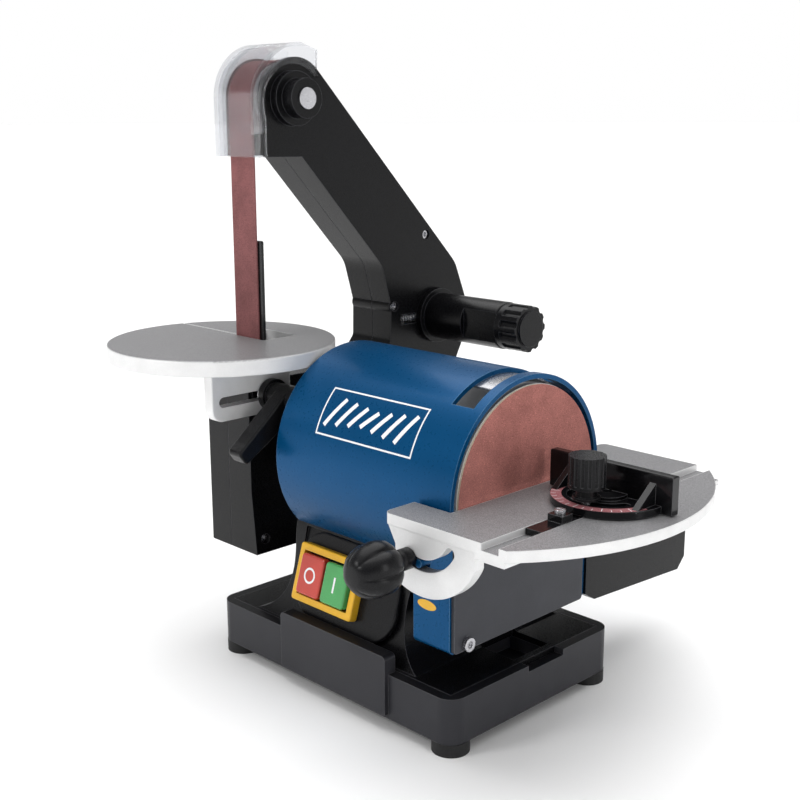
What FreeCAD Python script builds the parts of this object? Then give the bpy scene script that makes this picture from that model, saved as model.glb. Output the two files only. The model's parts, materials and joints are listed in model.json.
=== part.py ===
import FreeCAD, Part
import math
import os
import Sketcher
from FreeCAD import Placement, Rotation, Vector

# Bench-top belt and disc sander. Millimetres, +Z up, +X from the belt side to the disc side,
# +Y to the rear. Shapes are laid out with x = 0 at the middle of the base and y = 0 on the motor's
# axis; row_x and row_y then move every piece so that the origin is under the middle of the whole.

os.makedirs("parts", exist_ok=True)
doc = FreeCAD.newDocument("bench_sander")

DIMENSIONS = {
    "row_x": 8.2, "row_y": -18.5, "axis_z": 147.3,
    # base, flange and feet
    "base_length": 220, "base_width": 154, "base_corner": 11, "skirt_z": 8, "base_top": 37,
    "base_wall": 4, "flange_inset": 7, "flange_thick": 4.4, "foot_x": 99, "foot_y": 65.6,
    "foot_radius": 11.5, "foot_neck": 6, "foot_hole": 2.75, "boss_radius": 8, "boss_top": 29,
    "panel_left": -40, "panel_right": 58, "panel_front": -80, "panel_low": 11, "panel_high": 49,
    "well_inner": 66, "well_outer": 98, "well_front": -8, "well_back": 26, "well_floor": 20,
    "well_top": 24, "bench_hole_x": 84, "bench_hole_y": 9, "bench_hole": 3.3, "notch_low": 33,
    # pedestal and switch
    "stem_left": -53, "stem_right": 53, "stem_front": -50, "stem_back": 50, "stem_mid": 62,
    "stem_top": 118, "stem_wall": 6, "lean_deg": 16.7, "face_x": 2, "face_y": -57.6,
    "face_z": 72, "plate_width": 94, "plate_height": 57, "plate_thick": 3, "plate_corner": 22,
    "switch_x": -11, "frame_width": 57, "frame_height": 38, "frame_depth": 6,
    "frame_window_width": 48, "frame_window_height": 29, "button_width": 22.6, "button_height": 27.4,
    "button_pitch": 23.4, "button_gap": 0.5, "button_travel": 3, "module_depth": 18,
    "capacitor_radius": 17, "capacitor_length": 56, "gland_radius": 8, "gland_bore": 3.5,
    # motor
    "tube_radius": 68.5, "tube_wall": 3, "tube_left": -54.3, "hood_left": 71, "hood_right": 100,
    "box_front": -68.5, "box_back": 58, "box_low": 60, "slot_left": 76, "slot_right": 93,
    "slot_from_deg": 52, "slot_to_deg": 118, "shaft_radius": 6, "shaft_left": -143,
    "shaft_right": 93.5, "core_radius": 8, "bearing_outer": 16, "bearing_width": 10,
    "bearing_play": 0.03, "left_bearing_x": -92, "right_bearing_x": 56, "neck_radius": 30,
    "neck_left": -100.5, "stack_left": -32, "stack_right": 24, "air_gap": 0.6,
    "rotor_radius": 36, "winding_length": 16, "fan_x": 44, "fan_radius": 50, "fan_blades": 9,
    # sanding disc
    "disc_radius": 62.5, "disc_face": 100.2, "abrasive_thick": 1.2, "disc_plate_thick": 6,
    "cover_x": 101.2, "cover_thick": 1.5, "cover_top": 136, "cover_back": 53,
    # dust chute
    "chute_end": 174, "chute_bend": 68, "chute_low": 50, "chute_high": 82, "chute_left": 58,
    "chute_right": 99, "chute_wall": 2.5,
    # belt section
    "belt_mid": -128, "belt_width": 25.4, "belt_thick": 1, "belt_gap": 0.3, "belt_turn": 31.5,
    "top_wheel_y": -7.2, "top_wheel_z": 375, "top_turn": 24.3, "rear_wheel_y": 132.2,
    "rear_wheel_z": 213, "rear_turn": 27, "parting_x": -125, "cover_left": -148.5,
    "arm_right": -105, "box_right": -100.5, "box_flare": 4.5, "shell_wall": 3.5,
    "box_bottom": 66, "box_top": 188, "belt_box_front": -54.5, "belt_box_back": 45,
    "post_radius": 5.2, "screw_radius": 1.6, "screw_head": 3.2, "screw_sunk": 4.5,
    "front_screw_z": 158, "head_front": -30, "head_bottom": 337, "head_radius": 27, "wheel_axle": 5,
    "wheel_hub": 12, "wheel_rim": 3, "wheel_width": 25, "platen_top": 281, "platen_low": 170,
    "platen_left": -141.5, "platen_right": -112, "platen_thick": 2.4, "guard_front": -37,
    "guard_left": -151.5, "guard_right": -102.5, "guard_thick": 2, "guard_radius": 36.5,
    # tracking and tension
    "tension_travel": 6, "pad_radius": 21, "barrel_radius": 17.5, "barrel_right": -62,
    "flats_right": -30, "knob_right": -8, "knob_radius": 17, "tension_slot": 7.5,
    # belt table
    "table_x": -133, "table_y": -50.6, "table_radius": 78, "table_top": 213.5,
    "table_thick": 10.4, "mouth_left": -144, "mouth_right": -109, "mouth_front": -33.6,
    "mouth_back": -4, "bracket_left": -98, "bracket_right": -90, "bracket_front": -92,
    "bracket_back": -26, "bracket_low": 168, "bracket_slot": 3.5, "clamp_y": -45,
    "clamp_z": 181, "clamp_radius": 3, "lever_length": 55, "lever_right": -56,
    # disc table
    "pivot_x": 102.5, "plane_z": 148, "plane_thick": 6.5, "plane_front": -95.5,
    "plane_back": 110, "wing_left": 74, "wing_front": -70.8, "wing_back": 76, "arc_x": 54,
    "arc_y": 2, "arc_radius": 147, "miter_slot_left": 147, "miter_slot_right": 159,
    "miter_slot_depth": 4, "trunnion_thick": 7, "trunnion_radius": 43, "rear_trunnion_y": 82,
    "guide_radius": 24.5, "guide_bolt": 3, "guide_play": 0.5, "lock_deg": 113, "guide_deg": 96,
    "lock_knob_radius": 19, "lock_knob_y": -137,
    # miter gauge
    "gauge_x": 153, "gauge_y": 6, "gauge_play": 0.35, "bar_front": -60, "bar_back": 46,
    "fence_left": 109, "fence_right": 194, "fence_thick": 6, "fence_high": 171,
    "dial_radius": 34, "dial_low": 148.7, "dial_high": 155, "stud_offset": 20,
    "gauge_knob_low": 162, "gauge_knob_high": 180.5, "gauge_knob_radius": 10.6,
}

sheet = doc.addObject("Spreadsheet::Sheet", "dim")
sheet.Label = "driving dimensions"
for row, (alias, number) in enumerate(DIMENSIONS.items(), start=1):
    sheet.set(f"A{row}", alias)
    sheet.set(f"B{row}", str(number))
    sheet.setAlias(f"B{row}", alias)
doc.recompute()


class Size:
    """A number that remembers the sheet expression it comes from."""

    def __init__(self, value, text):
        self.value = float(value)
        self.text = text

    def __add__(self, other):
        other = size(other)
        return Size(self.value + other.value, f"({self.text} + {other.text})")

    def __sub__(self, other):
        other = size(other)
        return Size(self.value - other.value, f"({self.text} - {other.text})")

    def __mul__(self, other):
        other = size(other)
        return Size(self.value * other.value, f"({self.text} * {other.text})")

    def __truediv__(self, other):
        other = size(other)
        return Size(self.value / other.value, f"({self.text} / {other.text})")

    def __neg__(self):
        return Size(-self.value, f"(0 - {self.text})")

    def __radd__(self, other):
        return size(other) + self

    def __rsub__(self, other):
        return size(other) - self

    def __rmul__(self, other):
        return size(other) * self


def size(number):
    if isinstance(number, Size):
        return number
    return Size(number, f"({float(number):.6f})")


class Cells:
    """Gives each alias of the sheet as a Size, such as d.base_length."""

    def __getattr__(self, alias):
        return Size(getattr(sheet, alias), "dim." + alias)


d = Cells()
nodes = []

# the end of a slot is an arc a hair larger than half its width, so that its centre is definite
ROUND_END = 1.002

ORIGIN_ROLE = {"x": "YZ_Plane", "y": "XZ_Plane", "z": "XY_Plane"}
TURN_TO = {
    "x": Rotation(Vector(0, 1, 0), 90),
    "y": Rotation(Vector(1, 0, 0), -90),
    "z": Rotation(),
}


def bind(thing, path, number):
    thing.setExpression(path, size(number).text)


def keep(label, thing, at=(0, 0, 0), axis=(1, 0, 0), degrees=0.0):
    """Name a finished piece and give it its place in the row's frame."""
    if thing.TypeId == "Part::Cylinder":
        thing = group(thing)
    thing.Label = label
    thing.Placement = Placement(Vector(), Rotation(Vector(*axis), size(degrees).value))
    bind(thing, "Placement.Base.x", d.row_x + at[0])
    bind(thing, "Placement.Base.y", d.row_y + at[1])
    bind(thing, "Placement.Base.z", at[2])
    nodes.append(thing)


# ---------------------------------------------------------------- sketches and Part Design features

def outline(points, arcs=None):
    """A closed loop of lines; arcs maps an edge's number to its radius, negative if it bows inward."""
    def draw(sketch):
        first = sketch.GeometryCount
        ends = []
        for i, start in enumerate(points):
            stop = points[(i + 1) % len(points)]
            a = Vector(size(start[0]).value, size(start[1]).value, 0)
            b = Vector(size(stop[0]).value, size(stop[1]).value, 0)
            radius = (arcs or {}).get(i)
            if radius is None:
                sketch.addGeometry(Part.LineSegment(a, b), False)
                ends.append((1, 2))
                continue
            reach = abs(size(radius).value)
            outward = size(radius).value > 0
            chord = b - a
            right = Vector(chord.y, -chord.x, 0).normalize() * (1 if outward else -1)
            depth = math.sqrt(max(reach ** 2 - (chord.Length / 2) ** 2, 0.0))
            middle = (a + b) * 0.5 + right * (reach - depth)
            sketch.addGeometry(Part.Arc(a, middle, b), False)
            ends.append((1, 2) if outward else (2, 1))
        rules = []
        for i in range(len(points)):
            after = (i + 1) % len(points)
            rules.append(Sketcher.Constraint("Coincident", first + i, ends[i][1],
                                             first + after, ends[after][0]))
        sketch.addConstraint(rules)
        for i, (u, v) in enumerate(points):
            fix(sketch, "DistanceX", (first + i, ends[i][0]), u)
            fix(sketch, "DistanceY", (first + i, ends[i][0]), v)
        for i, radius in (arcs or {}).items():
            fix(sketch, "Radius", (first + i,), radius if size(radius).value > 0 else -radius)
    return draw


def rectangle(left, right, low, high):
    return outline([(left, low), (right, low), (right, high), (left, high)])


def circle(centre, radius):
    def draw(sketch):
        u, v = size(centre[0]), size(centre[1])
        shape = Part.Circle(Vector(u.value, v.value, 0), Vector(0, 0, 1), size(radius).value)
        index = sketch.addGeometry(shape, False)
        fix(sketch, "DistanceX", (index, 3), u)
        fix(sketch, "DistanceY", (index, 3), v)
        fix(sketch, "Radius", (index,), radius)
    return draw


def fix(sketch, kind, where, number):
    """Add one dimension to a sketch and bind it to the sheet."""
    index = sketch.addConstraint(Sketcher.Constraint(kind, *where, size(number).value))
    bind(sketch, f"Constraints[{index}]", number)


def new_body(name):
    return doc.addObject("PartDesign::Body", name)


def new_sketch(body, facing, at, loops):
    """A sketch square to one axis: facing x draws (y, z), facing y draws (x, z), z draws (x, y)."""
    sketch = body.newObject("Sketcher::SketchObject", "sketch")
    role = ORIGIN_ROLE[facing]
    plane = next(feature for feature in body.Origin.OriginFeatures if feature.Role == role)
    sketch.AttachmentSupport = [(plane, "")]
    sketch.MapMode = "FlatFace"
    bind(sketch, "AttachmentOffset.Base.z", -size(at) if facing == "y" else at)
    for loop in loops:
        loop(sketch)
    return sketch


def add(body, facing, low, high, *loops):
    """Add a straight block from low to high along the axis that the sketch faces."""
    sketch = new_sketch(body, facing, high if facing == "y" else low, loops)
    block = body.newObject("PartDesign::Pad", "pad")
    block.Profile = sketch
    bind(block, "Length", size(high) - low)
    doc.recompute()


def cut(body, facing, low, high, *loops):
    """Cut a straight pocket from low to high along the axis that the sketch faces."""
    before = body.Shape.Volume
    sketch = new_sketch(body, facing, low if facing == "y" else high, loops)
    pocket = body.newObject("PartDesign::Pocket", "pocket")
    pocket.Profile = sketch
    bind(pocket, "Length", size(high) - low)
    doc.recompute()
    if body.Shape.Volume >= before:
        raise RuntimeError(f"a pocket of {body.Label} cuts nothing")


def turn(body, axis, centre, profile, cutting=False):
    """Revolve a half section of (along, radius) points about a line parallel to X, Y or Z."""
    facing = {"x": "y", "y": "x", "z": "y"}[axis]
    points = [(radius, along) for along, radius in profile] if axis == "z" else profile
    sketch = new_sketch(body, facing, centre[0] if axis != "z" else centre[1], [outline(points)])
    if axis == "z":
        bind(sketch, "AttachmentOffset.Base.x", centre[0])
    else:
        bind(sketch, "AttachmentOffset.Base.y", centre[1])
    kind = "PartDesign::Groove" if cutting else "PartDesign::Revolution"
    feature = body.newObject(kind, "turning")
    feature.Profile = sketch
    feature.ReferenceAxis = (sketch, ["V_Axis" if axis == "z" else "H_Axis"])
    feature.Angle = 360
    doc.recompute()


def turned(label, axis, centre, profile):
    body = new_body(label)
    turn(body, axis, centre, profile)
    keep(label, body)
    return body


def edges_along(body, axis, places, reach=0.6):
    """Names of the straight edges parallel to an axis that pass near the given places."""
    names = []
    keys = {"x": ("y", "z"), "y": ("x", "z"), "z": ("x", "y")}[axis]
    spots = [(size(u).value, size(v).value) for u, v in places]
    for number, edge in enumerate(body.Shape.Edges, start=1):
        if edge.Curve.TypeId != "Part::GeomLine" or edge.Length < 0.5:
            continue
        way = edge.Curve.Direction
        if abs(abs(getattr(way, axis)) - 1) > 1e-6:
            continue
        start = edge.Vertexes[0].Point
        here = (getattr(start, keys[0]), getattr(start, keys[1]))
        if any(math.dist(here, spot) < reach for spot in spots):
            names.append(f"Edge{number}")
    return names


def edges_at(body, axis, level, longer=0.5):
    """Names of the edges that lie wholly in the plane where one coordinate has one value."""
    names = []
    for number, edge in enumerate(body.Shape.Edges, start=1):
        box = edge.BoundBox
        low = getattr(box, axis.upper() + "Min")
        high = getattr(box, axis.upper() + "Max")
        if max(abs(low - size(level).value), abs(high - size(level).value)) < 0.01:
            if edge.Length > longer:
                names.append(f"Edge{number}")
    return names


def soften(body, radius, names, kind="PartDesign::Fillet"):
    if not names:
        raise RuntimeError(f"no edges to round on {body.Label}")
    previous = body.Tip
    feature = body.newObject(kind, "edge_finish")
    feature.Base = (previous, names)
    body.Tip = feature
    bind(feature, "Radius" if kind == "PartDesign::Fillet" else "Size", radius)
    doc.recompute()
    if "Invalid" in feature.State:
        raise RuntimeError(f"an edge finish of {body.Label} fails")


def hollow(body, wall, open_axis, level):
    """Turn a solid block into a shell that is open on its face in one plane."""
    faces = []
    for number, face in enumerate(body.Shape.Faces, start=1):
        box = face.BoundBox
        low = getattr(box, open_axis.upper() + "Min")
        high = getattr(box, open_axis.upper() + "Max")
        if max(abs(low - size(level).value), abs(high - size(level).value)) < 0.01:
            faces.append(f"Face{number}")
    previous = body.Tip
    shell = body.newObject("PartDesign::Thickness", "shell")
    shell.Base = (previous, faces)
    shell.Reversed = True
    shell.Join = "Intersection"
    bind(shell, "Value", wall)
    body.Tip = shell
    doc.recompute()


# ------------------------------------------------------------------------- Part primitives

def cylinder(axis, start, centre, radius, length):
    """A bar along X, Y or Z from start; centre is its place on the other two axes."""
    solid = doc.addObject("Part::Cylinder", "bar")
    solid.Placement = Placement(Vector(), TURN_TO[axis])
    bind(solid, "Radius", radius)
    bind(solid, "Height", length)
    spot = {"x": (start, *centre), "y": (centre[0], start, centre[1]), "z": (*centre, start)}[axis]
    for name, number in zip("xyz", spot):
        bind(solid, "Placement.Base." + name, number)
    return solid


def box(x0, x1, y0, y1, z0, z1):
    solid = doc.addObject("Part::Box", "block")
    bind(solid, "Length", size(x1) - x0)
    bind(solid, "Width", size(y1) - y0)
    bind(solid, "Height", size(z1) - z0)
    for name, number in zip("xyz", (x0, y0, z0)):
        bind(solid, "Placement.Base." + name, number)
    return solid


def fuse(*solids):
    joined = doc.addObject("Part::MultiFuse", "joined")
    joined.Shapes = list(solids)
    return joined


def minus(base, *tools):
    rest = doc.addObject("Part::Cut", "rest")
    rest.Base = base
    rest.Tool = tools[0] if len(tools) == 1 else fuse(*tools)
    return rest


def group(*solids):
    together = doc.addObject("Part::Compound", "together")
    together.Links = list(solids)
    return together


def tube(axis, start, centre, outer, inner, length):
    return minus(cylinder(axis, start, centre, outer, length),
                 cylinder(axis, start, centre, inner, length))


def polar(centre, radius, degrees):
    """A point on a circle, as Sizes that follow the sheet."""
    angle = size(degrees)
    c = Size(math.cos(math.radians(angle.value)), f"cos({angle.text} * 1 deg)")
    s = Size(math.sin(math.radians(angle.value)), f"sin({angle.text} * 1 deg)")
    return size(centre[0]) + size(radius) * c, size(centre[1]) + size(radius) * s


def cap_screw(axis, start, centre, thread, head, length, head_length, outward=1):
    """A socket screw whose head starts at start and points outward along the axis."""
    sign = 1 if outward > 0 else -1
    head_from = start if sign > 0 else size(start) - head_length
    shank_from = size(start) - length if sign > 0 else start
    socket_from = size(head_from) + head_length / 2 if sign > 0 else head_from
    return minus(fuse(cylinder(axis, head_from, centre, head, head_length),
                      cylinder(axis, shank_from, centre, thread, length)),
                 cylinder(axis, socket_from, centre, size(head) * 0.5, head_length / 2))


# --------------------------------------------------------------------------------- base

def signs():
    return [(sx, sy) for sx in (-1, 1) for sy in (-1, 1)]


def make_base():
    """Moulded base: a skirt with a seat for the pedestal's flange, foot bosses and bench-bolt wells."""
    body = new_body("base")
    half_x, half_y = d.base_length / 2, d.base_width / 2
    add(body, "z", d.skirt_z, d.base_top, rectangle(-half_x, half_x, -half_y, half_y))
    corners = [(half_x * sx, half_y * sy) for sx, sy in signs()]
    soften(body, d.base_corner, edges_along(body, "z", corners))
    add(body, "y", d.panel_front, -half_y + 6,
        rectangle(d.panel_left, d.panel_right, d.panel_low, d.panel_high))
    soften(body, 3, edges_along(body, "y", [(d.panel_left, d.panel_high),
                                            (d.panel_right, d.panel_high)]))
    inner_x, inner_y = half_x - d.base_wall, half_y - d.base_wall
    cut(body, "z", d.skirt_z, d.base_top - d.flange_thick - d.base_wall,
        rectangle(-inner_x, inner_x, -inner_y, inner_y))
    for side in (-1, 1):
        low, high = sorted((d.well_inner * side, d.well_outer * side), key=lambda s: s.value)
        add(body, "z", d.well_floor, d.base_top - d.flange_thick - 1,
            rectangle(low - 3, high + 3, d.well_front - 3, d.well_back + 3))
    bosses = [circle((d.foot_x * sx, d.foot_y * sy), d.boss_radius) for sx, sy in signs()]
    add(body, "z", d.skirt_z + 4, d.boss_top, *bosses)
    seat_x, seat_y = half_x - d.flange_inset, half_y - d.flange_inset
    cut(body, "z", d.base_top - d.flange_thick, d.base_top + 1,
        rectangle(-seat_x, seat_x, -seat_y, seat_y))
    for side in (-1, 1):
        low, high = sorted((d.well_inner * side, d.well_outer * side), key=lambda s: s.value)
        cut(body, "z", d.well_top, d.base_top, rectangle(low, high, d.well_front, d.well_back))
        cut(body, "z", d.well_floor - 1, d.well_top + 1,
            circle((d.bench_hole_x * side, d.bench_hole_y), d.bench_hole))
        rim_low, rim_high = sorted((d.well_outer * side, (half_x + 1) * side),
                                   key=lambda s: s.value)
        cut(body, "z", d.notch_low, d.base_top + 1,
            rectangle(rim_low, rim_high, d.well_front, d.well_back))
    cut(body, "z", d.skirt_z, d.boss_top - 3,
        *[circle((d.foot_x * sx, d.foot_y * sy), d.foot_hole) for sx, sy in signs()])
    cut(body, "z", d.skirt_z, d.skirt_z + 8,
        *[circle((d.foot_x * sx, d.foot_y * sy), d.foot_neck) for sx, sy in signs()])
    keep("base", body)


def make_feet():
    """Rubber feet, each with a neck pushed up into its boss and a hole for a bench screw."""
    feet = []
    for sx, sy in signs():
        centre = (d.foot_x * sx, d.foot_y * sy)
        pad = fuse(cylinder("z", 0, centre, d.foot_radius, d.skirt_z),
                   cylinder("z", 0, centre, d.foot_neck, d.skirt_z + 8))
        feet.append(minus(pad, cylinder("z", 0, centre, d.foot_hole, d.skirt_z + 8)))
    keep("rubber_feet", group(*feet))


def stem_loop(spread_left, spread_right, front, back):
    return [(d.stem_left - spread_left, front), (d.stem_right + spread_right, front),
            (d.stem_right + spread_right, back), (d.stem_left - spread_left, back)]


def make_pedestal():
    """Casting that flares down into a flange on the base and cradles the motor tube."""
    body = new_body("pedestal_casting")
    half_x, half_y = d.base_length / 2, d.base_width / 2
    edge_x, edge_y = half_x - d.flange_inset - 0.2, half_y - d.flange_inset - 0.2
    low = d.base_top - d.flange_thick
    add(body, "z", low, d.base_top, rectangle(-edge_x, edge_x, -edge_y, edge_y))
    stations = [
        (d.base_top - 1, 30, 22, -68.0, 68.0), (d.base_top + 6, 14, 10, -64.5, 62.0),
        (d.base_top + 16, 5, 3, -61.0, 57.0), (d.stem_mid + 8, 0, 0, -57.0, 53.0),
        (d.stem_top, -3, 1, -43.0, 47.0),
    ]
    sections = [new_sketch(body, "z", z, [outline(stem_loop(a, b, front, back))])
                for z, a, b, front, back in stations]
    stem = body.newObject("PartDesign::AdditiveLoft", "stem")
    stem.Profile = sections[0]
    stem.Sections = sections[1:]
    stem.Ruled = False
    doc.recompute()
    cut(body, "x", -150, 150, circle((0, d.axis_z), d.tube_radius + 0.05))
    wall = d.stem_wall
    cut(body, "z", low - 1, d.stem_mid + 12,
        rectangle(d.stem_left + wall, d.stem_right - wall, d.stem_front + wall,
                  d.stem_back - wall))
    window = d.frame_window_width / 2 - 1.5
    cut(body, "y", -80, d.stem_front + wall + 9,
        rectangle(d.switch_x - window, d.switch_x + window, d.face_z - 19, d.face_z + 15))
    cut(body, "y", 30, 80, circle((-30, 55), d.gland_radius - 1.5))
    for side in (-1, 1):
        left, right = sorted((d.well_inner * side, d.well_outer * side), key=lambda s: s.value)
        cut(body, "z", low - 1, d.base_top + 30,
            rectangle(left + 2, right, d.well_front, d.well_back))
    half_w, half_h = d.plate_width / 2 + 0.2, d.plate_height / 2 + 0.2
    seat = group(box(-half_w, half_w, -14, 0, -half_h, half_h))
    seat.Placement = Placement(Vector(), Rotation(Vector(1, 0, 0), -d.lean_deg.value))
    for name, number in zip("xyz", (d.face_x, d.face_y, d.face_z)):
        bind(seat, "Placement.Base." + name, number)
    keep("pedestal", minus(body, seat))


def make_pedestal_screws():
    """Four screws from under the base into the flange."""
    under = d.base_top - d.flange_thick - d.base_wall
    keep("pedestal_screws", group(*[
        cap_screw("z", under, (62 * sx, 50 * sy), 2, 3.6, 6, 3, outward=-1) for sx, sy in signs()]))


# --------------------------------------------------------------------------------- switch

def on_face(label, thing):
    """Put a piece drawn about x = z = 0 and facing -Y onto the pedestal's leaning front."""
    keep(label, thing, (d.face_x, d.face_y, d.face_z), (1, 0, 0), -d.lean_deg)


def make_switch():
    plate = new_body("switch_plate")
    half_w, half_h = d.plate_width / 2, d.plate_height / 2
    shift = d.switch_x - d.face_x
    add(plate, "y", -d.plate_thick, 0, rectangle(-half_w, half_w, -half_h, half_h))
    soften(plate, d.plate_corner, edges_along(plate, "y", [
        (half_w * sx, half_h * sz) for sx, sz in signs()]))
    soften(plate, 1.2, edges_at(plate, "y", -d.plate_thick))
    half_u, half_v = d.frame_window_width / 2, d.frame_window_height / 2
    cut(plate, "y", -d.plate_thick - 1, 1,
        rectangle(shift - half_u + 2, shift + half_u - 2, -half_v + 2, half_v - 2))
    on_face("switch_plate", plate)

    frame = new_body("switch_frame")
    front = -d.plate_thick - d.frame_depth
    half_w, half_h = d.frame_width / 2, d.frame_height / 2
    add(frame, "y", front, -d.plate_thick,
        rectangle(shift - half_w, shift + half_w, -half_h, half_h))
    soften(frame, 2, edges_along(frame, "y", [
        (shift + half_w * sx, half_h * sz) for sx, sz in signs()]))
    soften(frame, 1, edges_at(frame, "y", front))
    cut(frame, "y", front - 1, -d.plate_thick + 1,
        rectangle(shift - half_u, shift + half_u, -half_v, half_v))
    on_face("switch_frame", frame)

    module = minus(box(shift - half_u + 2.4, shift + half_u - 2.4, -d.plate_thick + 0.5,
                       d.module_depth, -half_v + 2.4, half_v - 2.4),
                   *[box(shift + d.button_pitch * side / 2 - 9, shift + d.button_pitch * side / 2 + 9,
                         -d.plate_thick, 9, -8, 8) for side in (-1, 1)])
    on_face("switch_module", module)

    for name, side in (("red_button", -1), ("green_button", 1)):
        middle = shift + d.button_pitch * side / 2
        half_u = d.button_width / 2 - d.button_gap
        half_v = d.button_height / 2 - d.button_gap
        button = new_body(name)
        face = front - 3
        back = -d.plate_thick - 4
        add(button, "y", face, back, rectangle(middle - half_u, middle + half_u, -half_v, half_v))
        soften(button, 2.5, edges_along(button, "y", [
            (middle + half_u * sx, half_v * sz) for sx, sz in signs()]))
        soften(button, 1.2, edges_at(button, "y", face))
        add(button, "y", back, 2, rectangle(middle - 3.5, middle + 3.5, -3.5, 3.5))
        on_face(name, button)


def make_inner_electrics():
    keep("motor_capacitor", fuse(
        cylinder("x", -28, (22, 52), d.capacitor_radius, d.capacitor_length),
        cylinder("x", 28, (16, 52), 2, 6), cylinder("x", 28, (28, 52), 2, 6)))
    keep("cable_gland", minus(
        fuse(cylinder("y", 60.4, (-30, 55), d.gland_radius, 8),
             cylinder("y", 44, (-30, 55), d.gland_radius - 1.6, 17)),
        cylinder("y", 40, (-30, 55), d.gland_bore, 40)))


# --------------------------------------------------------------------------------- motor

def make_housing():
    """Blue steel housing: the motor tube, the hood round the disc and the dust box under it."""
    body = new_body("housing_tube")
    axis = (0, d.axis_z)
    add(body, "x", d.tube_left, d.hood_right, circle(axis, d.tube_radius))
    add(body, "x", d.hood_left, d.hood_right,
        rectangle(d.box_front, d.box_back, d.box_low, d.axis_z))
    wall = d.tube_wall
    soften(body, 4, edges_along(body, "x", [(d.box_front, d.box_low), (d.box_back, d.box_low)]))
    cut(body, "x", d.hood_left + wall, d.hood_right + 1,
        rectangle(d.box_front + wall, d.box_back - wall, d.box_low + wall, d.axis_z))
    cut(body, "x", d.tube_left - 1, d.hood_right + 1, circle(axis, d.tube_radius - wall))
    rear = d.box_back - wall - 1
    cut(body, "y", rear, d.box_back + 30,
        rectangle(d.hood_left + wall + 2, d.hood_right - 4, d.box_low + wall, d.chute_high - 5))
    keep("motor_housing", slotted(body))


def slotted(body):
    """Open the arched slot over the top of the hood."""
    wedge = doc.addObject("Part::Cylinder", "slot_wedge")
    bind(wedge, "Radius", d.tube_radius + 5)
    bind(wedge, "Height", d.slot_right - d.slot_left)
    bind(wedge, "Angle", d.slot_to_deg - d.slot_from_deg)
    # the wedge starts on its own +X axis, which points along -Y and is then lifted by the first angle
    lift = Rotation(Vector(1, 0, 0), -d.slot_from_deg.value)
    base_turn = Rotation(Vector(0, -1, 0), Vector(0, 0, 1), Vector(-1, 0, 0), "XYZ")
    wedge.Placement = Placement(Vector(), lift.multiply(base_turn))
    bind(wedge, "Placement.Base.x", d.slot_right)
    bind(wedge, "Placement.Base.y", 0)
    bind(wedge, "Placement.Base.z", d.axis_z)
    core = cylinder("x", d.slot_left - 1, (0, d.axis_z), d.tube_radius - 6,
                    d.slot_right - d.slot_left + 2)
    return minus(body, minus(wedge, core))


def make_shields():
    """End shields that carry the two motor bearings."""
    axis = (0, d.axis_z)
    seat = d.bearing_outer
    fit = d.tube_radius - d.tube_wall
    turned("belt_side_shield", "x", axis, [
        (d.neck_left, d.shaft_radius + 2), (d.neck_left, d.neck_radius),
        (d.tube_left + 0.5, d.neck_radius), (d.tube_left + 0.5, fit), (d.tube_left + 8, fit),
        (d.tube_left + 8, fit - 4), (d.tube_left + 4, fit - 4), (d.tube_left + 4, seat + 8),
        (d.left_bearing_x + d.bearing_width, seat + 8), (d.left_bearing_x + d.bearing_width, seat),
        (d.left_bearing_x, seat), (d.left_bearing_x, d.shaft_radius + 2)])
    outer_x = d.right_bearing_x + d.bearing_width
    turned("disc_side_shield", "x", axis, [
        (d.right_bearing_x, seat), (d.right_bearing_x, seat + 5), (outer_x - 4, seat + 8),
        (outer_x - 4, fit), (outer_x + 3, fit), (outer_x + 3, d.shaft_radius + 2),
        (outer_x, d.shaft_radius + 2), (outer_x, seat)])
    keep("motor_bearings", group(*[
        tube("x", start, axis, seat, d.shaft_radius + d.bearing_play, d.bearing_width)
        for start in (d.left_bearing_x, d.right_bearing_x)]))


def make_motor_inside():
    axis = (0, d.axis_z)
    bore = d.rotor_radius + d.air_gap
    length = d.stack_right - d.stack_left
    keep("stator_core", tube("x", d.stack_left, axis, d.tube_radius - d.tube_wall, bore, length))
    turns = [tube("x", start, axis, bore + 20, bore + 2, d.winding_length)
             for start in (d.stack_left - d.winding_length, d.stack_right)]
    keep("stator_windings", group(*turns))
    keep("rotor", tube("x", d.stack_left, axis, d.rotor_radius, d.core_radius, length))
    hub = fuse(cylinder("x", d.fan_x, axis, 12, 9),
               cylinder("x", d.fan_x, axis, d.fan_radius, 1.6))
    blades = []
    for index in range(int(d.fan_blades.value)):
        blade = doc.addObject("Part::Box", "blade")
        bind(blade, "Length", 9)
        bind(blade, "Width", d.fan_radius - 11)
        bind(blade, "Height", 1.6)
        angle = 360.0 * index / d.fan_blades.value
        spin = Rotation(Vector(1, 0, 0), angle)
        reach = spin.multVec(Vector(0, 10.5, -0.8))
        blade.Placement = Placement(reach, spin)
        bind(blade, "Placement.Base.x", d.fan_x)
        bind(blade, "Placement.Base.z", d.axis_z + reach.z)
        blades.append(blade)
    keep("cooling_fan", minus(fuse(hub, *blades),
                              cylinder("x", d.fan_x - 1, axis, d.core_radius, 12)))


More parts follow.
